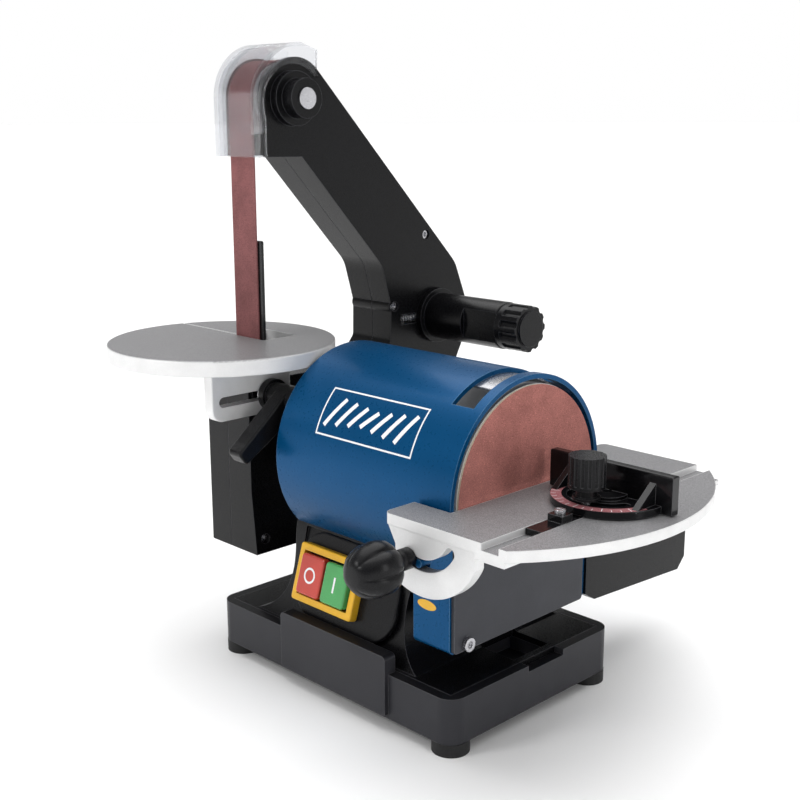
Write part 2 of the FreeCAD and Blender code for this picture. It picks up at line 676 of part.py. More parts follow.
def make_spindle():
    axis = (0, d.axis_z)
    thin, thick = d.shaft_radius, d.core_radius
    left_step = d.left_bearing_x + d.bearing_width + 1
    right_step = d.right_bearing_x - 1
    turned("motor_shaft", "x", axis, [
        (d.shaft_left, 0), (d.shaft_left, thin), (left_step, thin), (left_step, thick),
        (right_step, thick), (right_step, thin), (d.shaft_right, thin), (d.shaft_right, 0)])
    face = d.disc_face - d.abrasive_thick
    back = face - d.disc_plate_thick
    turned("disc_plate", "x", axis, [
        (back - 13, thin), (back - 13, 14), (back, 14), (back, d.disc_radius),
        (face, d.disc_radius), (face, 0), (d.shaft_right, 0), (d.shaft_right, thin)])
    keep("abrasive_disc", cylinder("x", face, axis, d.disc_radius - 0.3, d.abrasive_thick))
    keep("disc_grub_screw", cylinder("z", d.axis_z + thin, (back - 7, 0), 2.5, 7))
    wheel("drive_wheel", axis, d.belt_turn, d.shaft_radius)


def make_disc_covers():
    """Grey plate over the lower half of the disc, its screws and the bright liner in the hood."""
    axis = (0, d.axis_z)
    body = new_body("lower_cover")
    add(body, "x", d.cover_x, d.cover_x + d.cover_thick,
        rectangle(d.box_front + 1.5, d.cover_back, d.box_low + 1, d.cover_top))
    add(body, "x", d.hood_right, d.cover_x,
        rectangle(d.box_front + 1.5, d.box_front + 6, d.box_low + 1, d.cover_top),
        rectangle(d.cover_back - 3, d.cover_back, d.box_low + 1, 104))
    add(body, "x", d.hood_right, d.cover_x,
        rectangle(d.box_front + 6, d.cover_back - 3, d.box_low + 1, d.box_low + 6))
    soften(body, 2, edges_along(body, "x", [(d.box_front + 1.5, d.box_low + 1),
                                            (d.cover_back, d.box_low + 1)]))
    keep("lower_cover", body)
    outside = d.cover_x + d.cover_thick
    place = (d.box_front + 12, d.box_low + 5)
    keep("lower_cover_screw", cap_screw("x", outside, place, 1.5, 4.2, 8, 3))
    liner = tube("x", d.slot_left - 4, axis, d.tube_radius - d.tube_wall - 0.1,
                 d.tube_radius - d.tube_wall - 1.3, d.slot_right - d.slot_left)
    quarter = box(d.slot_left - 5, d.slot_right + 5, -22, 55, d.axis_z, d.axis_z + 80)
    shared = doc.addObject("Part::MultiCommon", "shared")
    shared.Shapes = [liner, quarter]
    keep("hood_liner", shared)


def make_chute():
    """Dust outlet duct on the rear of the dust box, running straight back."""
    body = new_body("dust_chute")
    low, high = d.chute_low, d.chute_high
    add(body, "x", d.chute_left, d.chute_right + 3,
        outline([(d.box_back + 0.2, d.box_low + 2), (d.chute_bend, low + 6), (d.chute_end - 8, low),
                 (d.chute_end, low + 8), (d.chute_end, high - 4), (d.chute_end - 6, high),
                 (d.box_back + 0.2, high + 6)]))
    wall = d.chute_wall
    cut(body, "x", d.chute_left + wall, d.chute_right + 3 - wall,
        outline([(d.box_back - 1, d.box_low + 2 + wall), (d.chute_bend + 1, low + 6 + wall),
                 (d.chute_end + 1, low + wall), (d.chute_end + 1, high - 1 - wall),
                 (d.box_back - 1, high + 6 - wall)]))
    cut(body, "x", d.chute_left + wall, d.chute_right + 3 - wall,
        rectangle(d.chute_end - 14, d.chute_end + 1, low + wall, high - 4 - wall))
    keep("dust_chute", body)


# --------------------------------------------------------------------------------- belt section

def housing_outline():
    """Side view of the belt housing in (y, z): lower box, rising arm and round head."""
    points = [
        (d.belt_box_front, d.box_bottom), (d.belt_box_back, d.box_bottom), (66, 100),
        (151, 164), (166.5, 193), (168, 221), (155, 252), (17, 393.2),
        (d.head_front, d.top_wheel_z - 1), (d.head_front, d.head_bottom), (1, d.head_bottom - 0.5),
        (76, 256), (85, 225), (84.5, 198), (76, d.box_top), (d.belt_box_front, d.box_top),
    ]
    return outline(points, {7: d.head_radius})


def boss_places():
    """Where the screws of the belt housing sit in (y, z), and the face that each is set in from."""
    return [
        ((d.belt_box_front + 4.5, d.front_screw_z), d.box_right), ((-46, 76), d.box_right + 2),
        ((36, 76), d.box_right + 2), ((88.5, 224), d.arm_right), ((122.3, 275.5), d.arm_right),
        ((140, 172), d.arm_right),
    ]


def round_housing(body):
    soften(body, 26, edges_along(body, "x", [(155, 252), (168, 221)], 1.0))
    soften(body, 24, edges_along(body, "x", [(76, 256)], 1.0))
    soften(body, 6, edges_along(body, "x", [(84.5, 198), (76, d.box_top)], 1.0))


def open_head(body, left, right):
    """Leave the belt bare at the front and top of the head and along its way up from the box."""
    cut(body, "x", left, right, rectangle(d.head_front - 3, 1, d.head_bottom - 4, 410))
    cut(body, "x", left, right, rectangle(0, 14, d.top_wheel_z, 410))
    cut(body, "z", d.box_top - 20, d.box_top + 1,
        rectangle(left, right, d.mouth_front - 4, -20))


def make_belt_housing():
    """Right-hand casting: the back of the belt box, the arm and the head, with its bosses."""
    body = new_body("belt_housing")
    add(body, "x", d.parting_x + 0.2, d.arm_right, housing_outline())
    add(body, "y", d.belt_box_front, d.belt_box_back,
        outline([(d.parting_x + 0.2, d.box_bottom), (d.box_right + d.box_flare, d.box_bottom),
                 (d.box_right, d.axis_z - 36), (d.box_right, d.box_top), (d.parting_x + 0.2, d.box_top)]))
    round_housing(body)
    hollow(body, d.shell_wall, "x", d.parting_x + 0.2)
    for (y, z), face in boss_places():
        post = circle((y, z), d.post_radius)
        if size(z).value == d.front_screw_z.value:
            post = rectangle(d.belt_box_front, y + d.post_radius, z - d.post_radius, z + d.post_radius)
        add(body, "x", d.parting_x + 0.2, face - 1, post)
    top = (d.top_wheel_y, d.top_wheel_z)
    add(body, "x", d.arm_right - 2, d.arm_right + 6, circle(top, 18))
    add(body, "x", d.arm_right - 2, d.arm_right + 16, circle(top, 13.2))
    add(body, "x", d.box_right - 6, d.box_right + 2, circle((d.clamp_y, d.clamp_z), 7.5))
    open_head(body, d.parting_x - 5, d.arm_right - d.shell_wall)
    cut(body, "x", d.arm_right - 8, d.arm_right + 20, circle(top, d.wheel_axle))
    for place, face in boss_places():
        cut(body, "x", d.parting_x, face, circle(place, d.screw_radius + 0.05))
        cut(body, "x", face - d.screw_sunk, face + 4, circle(place, d.screw_head + 0.5))
    cut(body, "x", d.box_right - 12, d.box_right + 8, circle((0, d.axis_z), 20))
    cut(body, "x", d.box_right - 12, d.box_right + 8,
        circle((d.clamp_y, d.clamp_z), d.clamp_radius + 0.05))
    slot = d.tension_slot
    reach = d.tension_travel
    cut(body, "x", d.arm_right - 10, d.arm_right + 5,
        rectangle(d.rear_wheel_y - reach - slot, d.rear_wheel_y + slot, d.rear_wheel_z - slot,
                  d.rear_wheel_z + slot))
    cut(body, "x", d.arm_right - 10, d.arm_right + 5,
        rectangle(d.rear_wheel_y - 37, d.rear_wheel_y - reach - slot, d.rear_wheel_z - 4,
                  d.rear_wheel_z + 4))
    keep("belt_housing", body)


def make_belt_cover():
    """Left-hand cover that closes the belt housing."""
    body = new_body("belt_cover")
    add(body, "x", d.cover_left, d.parting_x - 0.2, housing_outline())
    round_housing(body)
    hollow(body, d.shell_wall, "x", d.parting_x - 0.2)
    soften(body, 2, edges_at(body, "x", d.cover_left))
    for (y, z), face in boss_places():
        post = circle((y, z), d.post_radius)
        if size(z).value == d.front_screw_z.value:
            post = rectangle(d.belt_box_front, y + d.post_radius, z - d.post_radius, z + d.post_radius)
        add(body, "x", d.cover_left + 2, d.parting_x - 0.2, post)
        cut(body, "x", d.parting_x - 12, d.parting_x, circle((y, z), d.screw_radius + 0.05))
    open_head(body, d.cover_left + d.shell_wall, d.parting_x + 5)
    keep("belt_cover", body)


def make_cover_screws():
    """Screws that hold the two halves of the belt housing together, set in from the right."""
    keep("housing_screws", group(*[
        cap_screw("x", face - d.screw_sunk, place, d.screw_radius, d.screw_head,
                  face - d.screw_sunk - d.parting_x + 10, 3) for place, face in boss_places()]))


def wheel(label, centre, turn_radius, bore):
    """Crowned belt wheel with a hub, a thin web and a rim, running under the belt."""
    left = d.belt_mid - d.wheel_width / 2
    right = d.belt_mid + d.wheel_width / 2
    rim = turn_radius - d.belt_gap
    inner = rim - d.wheel_rim
    hub = bore + 5
    turned(label, "x", centre, [
        (left, bore), (left, hub), (d.belt_mid - 2, hub), (d.belt_mid - 2, inner), (left, inner),
        (left, rim - 0.5), (d.belt_mid - 5, rim), (d.belt_mid + 5, rim), (right, rim - 0.5),
        (right, inner), (d.belt_mid + 2, inner), (d.belt_mid + 2, hub), (right, hub),
        (right, bore)])


def make_wheels():
    top = (d.top_wheel_y, d.top_wheel_z)
    rear = (d.rear_wheel_y, d.rear_wheel_z)
    outer = d.wheel_hub - 1
    for label, centre, radius in (("top_wheel", top, d.top_turn), ("rear_wheel", rear, d.rear_turn)):
        wheel(label, centre, radius, outer)
        keep(label + "_bearing", tube("x", d.belt_mid - 6, centre, outer,
                                      d.wheel_axle + d.bearing_play, 12))
    left = d.cover_left + d.shell_wall
    keep("top_axle", fuse(cylinder("x", left, top, d.wheel_axle, d.arm_right + 16 - left),
                          cylinder("x", d.arm_right + 16, top, 7, 1.2),
                          cylinder("x", d.parting_x + 9.2, top, 8, 2)))
    start = d.belt_mid - d.wheel_width / 2 - 2
    keep("rear_axle", fuse(
        cylinder("x", start, rear, d.wheel_axle, d.barrel_right + 4 - start),
        cylinder("x", start - 1.5, rear, 7.5, 1.5),
        cylinder("x", d.arm_right + 8, rear, d.wheel_axle + 1, 4)))


def hull_wire(circles, x):
    """The outline that a tight band takes round circles given in counter-clockwise order."""
    spots = []
    for index, (centre, radius) in enumerate(circles):
        follow, next_radius = circles[(index + 1) % len(circles)]
        gap = follow - centre
        lean = math.atan2(gap.z, gap.y) - math.acos((radius - next_radius) / gap.Length)
        normal = Vector(0, math.cos(lean), math.sin(lean))
        spots.append((centre + normal * radius, follow + normal * next_radius, lean))
    edges = []
    for index, (start, stop, lean) in enumerate(spots):
        edges.append(Part.makeLine(start, stop))
        centre, radius = circles[(index + 1) % len(circles)]
        next_start, _, next_lean = spots[(index + 1) % len(spots)]
        half = ((next_lean - lean) % (2 * math.pi)) / 2
        middle = centre + Vector(0, math.cos(lean + half), math.sin(lean + half)) * radius
        edges.append(Part.Arc(stop, middle, next_start).toShape())
    wire = Part.Wire(edges)
    wire.translate(Vector(x, 0, 0))
    return wire


def make_belt():
    """Endless abrasive belt round the drive wheel, the rear wheel and the top wheel."""
    left = (d.belt_mid - d.belt_width / 2).value
    paths = []
    for extra in (0.0, d.belt_thick.value):
        circles = [(Vector(0, 0, d.axis_z.value), d.belt_turn.value + extra),
                   (Vector(0, d.rear_wheel_y.value, d.rear_wheel_z.value), d.rear_turn.value + extra),
                   (Vector(0, d.top_wheel_y.value, d.top_wheel_z.value), d.top_turn.value + extra)]
        paths.append(hull_wire(circles, left))
    print("belt length inside, mm:", round(paths[0].Length, 1))
    ring = Part.Face(paths[1]).cut(Part.Face(paths[0]))
    belt = doc.addObject("Part::Feature", "abrasive_belt")
    belt.Shape = ring.extrude(Vector(d.belt_width.value, 0, 0))
    keep("abrasive_belt", belt)


def make_platen():
    """Steel plate that backs the belt above its table."""
    face = d.top_wheel_y - d.top_turn + d.belt_gap
    body = new_body("platen")
    add(body, "y", face, face + d.platen_thick,
        rectangle(d.platen_left, d.platen_right, d.platen_low, d.platen_top))
    soften(body, 1.5, edges_along(body, "y", [(d.platen_left, d.platen_top),
                                              (d.platen_right, d.platen_top)]))
    inside = d.arm_right - d.shell_wall
    add(body, "x", d.platen_right - 2, d.platen_right, rectangle(face, face + 13, d.platen_low,
                                                                 d.box_top - 6))
    add(body, "x", d.platen_right - 2, inside, rectangle(face + 9, face + 13, d.platen_low,
                                                              d.box_top - 6))
    keep("platen", body)


def make_guard():
    """Clear guard that wraps the front and top of the head."""
    body = new_body("belt_guard")
    low, high = d.head_bottom, d.top_wheel_z
    radius = d.guard_radius
    centre_y = d.guard_front + radius
    outer = [(d.guard_front, low), (centre_y, low), (12, high - 20), (14, high + 32),
             (centre_y, high + radius), (d.guard_front, high)]
    add(body, "x", d.guard_left, d.guard_right, outline(outer, {4: radius}))
    thick = d.guard_thick
    inner = [(d.guard_front + thick, low - 1), (centre_y + 60, low - 1),
             (centre_y + 60, high + radius - thick), (centre_y, high + radius - thick),
             (d.guard_front + thick, high)]
    cut(body, "x", d.guard_left + thick, d.guard_right - thick,
        outline(inner, {3: radius - thick}))
    cut(body, "x", d.guard_right - thick - 1, d.guard_right + 1,
        circle((d.top_wheel_y + 1, d.top_wheel_z - 4), 26.5))
    cut(body, "x", d.guard_right - thick - 1, d.guard_right + 1,
        rectangle(d.guard_front + 6, 60, low - 1, high + 8))
    cut(body, "x", d.guard_left - 1, d.guard_left + thick + 1,
        rectangle(-12, 60, low - 1, high + 8))
    keep("belt_guard", body)


# ------------------------------------------------------------------------ tension and tracking

def make_tensioner():
    """Sprung block that slides along the arm and carries the rear wheel's axle and its adjuster."""
    rear = (d.rear_wheel_y, d.rear_wheel_z)
    face = d.arm_right + 0.4
    body = new_body("tension_block")
    add(body, "x", face, face + 5, circle(rear, d.pad_radius))
    add(body, "x", face + 4, d.flats_right, circle(rear, d.barrel_radius))
    soften(body, 1.5, edges_at(body, "x", d.flats_right))
    flat = d.barrel_radius - 4
    for near, far in ((-flat - 10, -flat), (flat, flat + 10)):
        cut(body, "x", d.barrel_right, d.flats_right + 1,
            rectangle(d.rear_wheel_y + near, d.rear_wheel_y + far,
                      d.rear_wheel_z - 20, d.rear_wheel_z + 20))
    guide = d.tension_slot - 0.4
    add(body, "x", d.arm_right - 7, face,
        rectangle(d.rear_wheel_y - guide, d.rear_wheel_y + guide, d.rear_wheel_z - guide,
                  d.rear_wheel_z + guide))
    cut(body, "x", d.arm_right - 8, d.barrel_right + 8, circle(rear, d.wheel_axle + 1.2))
    cut(body, "x", d.barrel_right, d.flats_right + 1, circle(rear, 4.05))
    keep("tension_block", body)

    count = 12
    knob = cylinder("x", d.flats_right + 0.5, rear, d.knob_radius, d.knob_right - d.flats_right - 2)
    crown = cylinder("x", d.knob_right - 1.6, rear, d.knob_radius - 4, 1.6)
    scallops = []
    for index in range(count):
        centre = polar(rear, d.knob_radius + 1.6, 360.0 * index / count + 15)
        scallops.append(cylinder("x", d.flats_right + 5, centre, 3.2, 30))
    thread = cylinder("x", d.barrel_right + 6, rear, 4, d.flats_right + 6 - d.barrel_right)
    keep("tracking_knob", fuse(minus(fuse(knob, crown), *scallops), thread))

    coil = doc.addObject("Part::Helix", "spring_path")
    slot_front = d.rear_wheel_y - 36.4
    block_front = d.rear_wheel_y - d.tension_slot + 0.4
    length = block_front - slot_front - 1.4
    bind(coil, "Radius", 2.6)
    bind(coil, "Pitch", length / 10)
    bind(coil, "Height", length)
    wire = doc.addObject("Part::Circle", "spring_section")
    bind(wire, "Radius", 0.55)
    wire.Placement = Placement(Vector(2.6, 0, 0), Rotation(Vector(1, 0, 0), 90))
    spring = doc.addObject("Part::Sweep", "spring")
    spring.Sections = [wire]
    spring.Spine = (coil, [])
    spring.Solid = True
    spring.Frenet = True
    keep("tension_spring", spring, (d.arm_right - 4.4, slot_front + 0.7, d.rear_wheel_z),
         (1, 0, 0), -90.0)


# --------------------------------------------------------------------------------- belt table

def make_belt_table():
    body = new_body("belt_table")
    under = d.table_top - d.table_thick
    add(body, "z", under, d.table_top, circle((d.table_x, d.table_y), d.table_radius))
    soften(body, 1.2, edges_at(body, "z", d.table_top))
    cut(body, "z", under - 1, d.table_top + 1,
        rectangle(d.mouth_left, d.mouth_right, d.mouth_front, d.mouth_back))
    cut(body, "z", under - 1, d.table_top + 1,
        rectangle(d.table_x - d.table_radius - 2, d.mouth_left + 1, -31.9, -30.1))
    keep("belt_table", body)

    bracket = new_body("belt_table_bracket")
    add(bracket, "x", d.bracket_left, d.bracket_right,
        rectangle(d.bracket_front, d.bracket_back, d.bracket_low, under))
    soften(bracket, 9, edges_along(bracket, "x", [(d.bracket_front, d.bracket_low)]))
    soften(bracket, 6, edges_along(bracket, "x", [(d.bracket_back, d.bracket_low)]))
    soften(bracket, 1, edges_at(bracket, "x", d.bracket_right))
    half = d.bracket_slot
    left, right = d.clamp_y - 38, d.clamp_y + 12
    cut(bracket, "x", d.bracket_left - 1, d.bracket_right + 1,
        outline([(left, d.clamp_z - half), (right, d.clamp_z - half), (right, d.clamp_z + half),
                 (left, d.clamp_z + half)], {1: half * ROUND_END, 3: half * ROUND_END}))
    keep("belt_table_bracket", bracket)
    middle = (d.bracket_left + d.bracket_right) / 2
    keep("bracket_screws", group(*[
        cylinder("z", under - 10, (middle, y), 2, 16) for y in (-80, -36)]))


def make_clamp():
    """Clamp lever with its stud and washer, which locks the belt table's bracket."""
    centre = (d.clamp_y, d.clamp_z)
    keep("clamp_washer", tube("x", d.bracket_right + 0.3, centre, 10, d.clamp_radius + 0.3, 1.2))
    start = d.bracket_right + 2
    angle = 216
    tip = polar(centre, d.lever_length, angle)
    hub = fuse(cylinder("x", start, centre, 11, 5), cylinder("x", start + 4, centre, 9,
                                                            d.lever_right - start - 4))
    arm = new_body("lever_arm")
    root_a, root_b = polar(centre, 9, angle + 80), polar(centre, 9, angle - 80)
    tip_a, tip_b = polar(tip, 5.2, angle + 90), polar(tip, 5.2, angle - 90)
    add(arm, "x", d.lever_right - 19, d.lever_right - 6, outline([tip_b, tip_a, root_a, root_b]))
    soften(arm, 3, edges_along(arm, "x", [tip_a, tip_b]))
    soften(arm, 1.5, edges_at(arm, "x", d.lever_right - 6) + edges_at(arm, "x", d.lever_right - 19))
    keep("clamp_lever", minus(fuse(hub, arm),
                              cylinder("x", start - 1, centre, d.clamp_radius, d.lever_right - start),
                              cylinder("x", d.lever_right - 5, centre, 5.5, 6)))
    keep("clamp_stud", cap_screw("x", d.lever_right - 5, centre, d.clamp_radius, 4.6,
                                 d.lever_right - 5 - d.box_right + 8, 4))


# --------------------------------------------------------------------------------- disc table

def make_disc_table():
    """Cast table in front of the disc, with a miter slot and a bevel along its hinge line."""
    body = new_body("disc_table")
    top, under = d.plane_z, d.plane_z - d.plane_thick
    front, back = d.plane_front, d.plane_back
    reach_front = math.sqrt(d.arc_radius.value ** 2 - (front - d.arc_y).value ** 2)
    reach_back = math.sqrt(d.arc_radius.value ** 2 - (back - d.arc_y).value ** 2)
    points = [(d.wing_left, front), (d.arc_x + reach_front, front), (d.arc_x + reach_back, back),
              (d.wing_left, back), (d.wing_left, d.wing_back), (d.pivot_x, d.wing_back),
              (d.pivot_x, d.wing_front), (d.wing_left, d.wing_front)]
    add(body, "z", under, top, outline(points, {1: d.arc_radius}))
    soften(body, 5, edges_along(body, "z", [points[0], points[3]]))
    soften(body, 9, edges_along(body, "z", [points[2]]))
    add(body, "y", front, back,
        rectangle(d.miter_slot_left - 5, d.miter_slot_right + 4, under - 3.5, under))
    cut(body, "z", top - d.miter_slot_depth, top + 1,
        rectangle(d.miter_slot_left, d.miter_slot_right, front - 5, back + 5))
    cut(body, "y", d.wing_front - 0.01, d.wing_back + 0.01,
        outline([(d.pivot_x - 1, under - 1), (d.pivot_x + d.plane_thick + 1, under - 1),
                 (d.pivot_x, top), (d.pivot_x - 1, top)]))
    keep("disc_table", body)

    centre = (d.pivot_x, d.plane_z)
    outer = d.trunnion_radius
    plates = []
    for y in (d.plane_front + 1.5, d.rear_trunnion_y):
        plate = new_body("trunnion_plate")
        start, stop = polar(centre, outer, -118), polar(centre, outer, -24)
        edge = [(76, under), (82, 131), start, stop, (stop[0], under)]
        add(plate, "y", y, y + d.trunnion_thick, outline(edge, {2: outer}))
        lock, finish = -d.lock_deg - 6, -31
        half = d.guide_bolt + d.guide_play
        inner, wide = d.guide_radius - half, d.guide_radius + half
        cut(plate, "y", y - 1, y + d.trunnion_thick + 1,
            outline([polar(centre, wide, lock), polar(centre, wide, finish),
                     polar(centre, inner, finish), polar(centre, inner, lock)],
                    {0: wide, 1: half * ROUND_END, 2: -inner, 3: half * ROUND_END}))
        plates.append(plate)
    keep("table_trunnions", group(*plates))
    spots = [(x, d.plane_front + 5) for x in (96, 128)] + [(x, d.rear_trunnion_y + 3.5)
                                                           for x in (96, 128)]
    keep("trunnion_screws", group(*[cylinder("z", under - 6, spot, 1.5, 10) for spot in spots]))


def make_table_supports():
    """Fixed lugs on the dust box with a guide pin each, which the trunnions' arc slots ride on."""
    centre = (d.pivot_x, d.plane_z)
    lock = polar(centre, d.guide_radius, -d.lock_deg)
    pin = polar(centre, d.guide_radius, -d.guide_deg)
    front_face, rear_face = d.plane_front + 1.5 + d.trunnion_thick + 0.4, d.rear_trunnion_y - 0.4
    left, right = lock[0] - 9, d.hood_right + 2
    lug_front = minus(box(left, right, front_face, d.box_front, lock[1] - 10, lock[1] + 10),
                      cylinder("y", front_face - 1, lock, d.guide_bolt + 0.05, 21))
    lug_rear = box(left, right, d.tube_radius - 3.9, rear_face, lock[1] - 10, lock[1] + 10)
    length = d.trunnion_thick + 0.4
    pins = [cylinder("y", front_face - length, pin, d.guide_bolt - 0.6, length + 1),
            cylinder("y", rear_face - 1, pin, d.guide_bolt - 0.6, length + 1)]
    bolt = fuse(cylinder("y", rear_face - 1, lock, d.guide_bolt - 0.1, length + 2),
                cylinder("y", rear_face + length + 0.3, lock, 5, 4))
    keep("table_supports", group(fuse(lug_front, pins[0]), fuse(lug_rear, pins[1], bolt)))

    sleeve_start = d.plane_front + 1.5 - 0.3
    knob_back = d.lock_knob_y + 33
    keep("lock_bolt", cylinder("y", knob_back - 8, lock, d.guide_bolt,
                               front_face + 14 - knob_back + 8))
    hub = cylinder("y", d.lock_knob_y + 6, lock, 11, 26)
    sleeve = cylinder("y", knob_back - 3, lock, 6, sleeve_start - knob_back + 3)
    cap = cylinder("y", d.lock_knob_y, lock, 9, 8)
    lobes = []
    for index in range(5):
        spot = polar(lock, d.lock_knob_radius - 5, 72.0 * index + 54)
        lobes.append(cylinder("y", d.lock_knob_y + 4, spot, 5, 20))
    keep("table_lock_knob", minus(fuse(hub, sleeve, cap, *lobes),
                                  cylinder("y", knob_back - 8, lock, d.guide_bolt, 60)))


# --------------------------------------------------------------------------------- miter gauge

def make_miter_gauge():
    top = d.plane_z
    left, right = d.miter_slot_left + d.gauge_play, d.miter_slot_right - d.gauge_play
    bar_low, bar_high = top - d.miter_slot_depth + d.gauge_play, top - 0.1
    stud = (d.gauge_x, d.gauge_y - d.stud_offset)
    pivot = (d.gauge_x, d.gauge_y)
    keep("miter_bar", fuse(
        box(left, right, d.bar_front, d.bar_back, bar_low, bar_high),
        cylinder("z", bar_low, pivot, 3, d.dial_high - bar_low - 1),
        box(d.gauge_x - 5, d.gauge_x + 5, -42, -33, bar_low, 152)))
    keep("pointer_screw", minus(cylinder("z", 152, (d.gauge_x, -37.5), 3.2, 2.4),
                                box(d.gauge_x - 4, d.gauge_x + 4, -38, -37, 153.4, 155)))

    head = new_body("miter_head")
    low, high = d.dial_low, d.dial_high
    right_end = (d.gauge_x + d.dial_radius, d.gauge_y)
    left_end = (d.gauge_x - d.dial_radius, d.gauge_y)
    add(head, "z", low, high - 2,
        outline([left_end, right_end, (right_end[0], d.gauge_y + 4), (left_end[0], d.gauge_y + 4)],
                {0: d.dial_radius * ROUND_END}))
    add(head, "z", high - 3, high, circle(stud_arc_centre(pivot), 12))
    add(head, "z", low, d.fence_high,
        rectangle(d.fence_left, d.fence_right, d.gauge_y + 3, d.gauge_y + 3 + d.fence_thick))
    soften(head, 1, edges_at(head, "z", d.fence_high))
    add(head, "x", d.gauge_x - 30, d.gauge_x - 26,
        outline([(d.gauge_y + 4, high - 3), (d.gauge_y + 4, high + 11), (d.gauge_y - 15, high - 3)]))
    add(head, "x", d.gauge_x + 26, d.gauge_x + 30,
        outline([(d.gauge_y + 4, high - 3), (d.gauge_y + 4, high + 11), (d.gauge_y - 15, high - 3)]))
    cut(head, "z", low - 1, high + 1, circle(pivot, 3.05))
    wide, inner = d.stud_offset + 3, d.stud_offset - 3
    start, stop = -155, -25
    cut(head, "z", low - 1, high + 1,
        outline([polar(pivot, wide, start), polar(pivot, wide, stop), polar(pivot, inner, stop),
                 polar(pivot, inner, start)],
                {0: wide, 1: 3 * ROUND_END, 2: -inner, 3: 3 * ROUND_END}))
    keep("miter_head", head)

    knob_low, knob_high = d.gauge_knob_low, d.gauge_knob_high
    radius = d.gauge_knob_radius
    flutes = []
    count = 16
    for index in range(count):
        centre = polar(stud, radius + 0.7, 360.0 * index / count)
        flutes.append(cylinder("z", knob_low + 2, centre, 1.2, 30))
    grip = minus(cylinder("z", knob_low, stud, radius, knob_high - knob_low), *flutes)
    collar = fuse(cylinder("z", high + 0.3, stud, 8, 1.6),
                  cylinder("z", high + 0.3, stud, 6, knob_low - high))
    keep("miter_knob", minus(fuse(grip, collar), cylinder("z", bar_high, stud, 2.45, 27)))
    keep("miter_stud", cylinder("z", bar_high, stud, 2.4, 26))


def stud_arc_centre(pivot):
    return (pivot[0], pivot[1] - 1)


# --------------------------------------------------------------------------------- build

make_base()
make_feet()
make_pedestal()
make_pedestal_screws()
make_switch()
make_inner_electrics()
make_housing()
make_shields()
make_motor_inside()
make_spindle()
make_disc_covers()
make_chute()
make_belt_housing()
make_belt_cover()
make_cover_screws()
make_wheels()
make_belt()
make_platen()
make_guard()
make_tensioner()
make_belt_table()
make_clamp()
make_disc_table()
make_table_supports()
make_miter_gauge()
doc.recompute()

failed = [thing.Label for thing in doc.Objects if {"Invalid", "Error"} & set(thing.State)]
if failed:
    raise RuntimeError(f"failed features: {failed}")
for thing in nodes:
    if thing.Shape.isNull() or not thing.Shape.isValid():
        raise RuntimeError(f"bad shape: {thing.Label}")
for thing in nodes:
    thing.Shape.exportStep(f"parts/{thing.Label}.step")

whole = FreeCAD.BoundBox()
for thing in nodes:
    whole.add(thing.Shape.BoundBox)
print(len(nodes), "pieces; box from", whole.XMin, whole.YMin, whole.ZMin, "to",
      whole.XMax, whole.YMax, whole.ZMax)
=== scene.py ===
import json
import math

import bpy
from mathutils import Matrix, Vector


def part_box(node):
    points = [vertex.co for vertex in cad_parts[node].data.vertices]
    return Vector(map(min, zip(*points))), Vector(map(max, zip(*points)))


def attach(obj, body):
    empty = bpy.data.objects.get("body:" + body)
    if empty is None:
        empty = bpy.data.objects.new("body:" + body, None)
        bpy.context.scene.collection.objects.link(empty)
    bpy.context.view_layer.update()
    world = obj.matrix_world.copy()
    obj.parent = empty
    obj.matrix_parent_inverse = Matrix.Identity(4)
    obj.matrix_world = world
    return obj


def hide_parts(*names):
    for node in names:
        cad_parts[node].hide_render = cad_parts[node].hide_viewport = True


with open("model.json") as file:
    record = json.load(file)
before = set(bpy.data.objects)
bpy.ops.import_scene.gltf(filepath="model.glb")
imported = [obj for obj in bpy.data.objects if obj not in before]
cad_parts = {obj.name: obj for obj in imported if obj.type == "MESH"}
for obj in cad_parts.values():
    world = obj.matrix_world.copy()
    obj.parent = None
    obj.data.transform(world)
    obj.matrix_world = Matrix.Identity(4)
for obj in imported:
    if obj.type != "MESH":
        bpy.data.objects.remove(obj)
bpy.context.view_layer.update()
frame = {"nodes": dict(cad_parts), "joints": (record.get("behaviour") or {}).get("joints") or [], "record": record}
nodes = frame["nodes"]
record = frame["record"]
joints = {joint["name"]: joint for joint in frame["joints"]}

# Heights in metres at which printed marks stand off the faces that carry them.
PRINT_LIFT = 0.0001
TICK_LIFT = 0.0002
TUBE_PRINT_LIFT = 0.00012

X_AXIS, Y_AXIS, Z_AXIS = Vector((1, 0, 0)), Vector((0, 1, 0)), Vector((0, 0, 1))


# ------------------------------------------------------------------------------ node materials

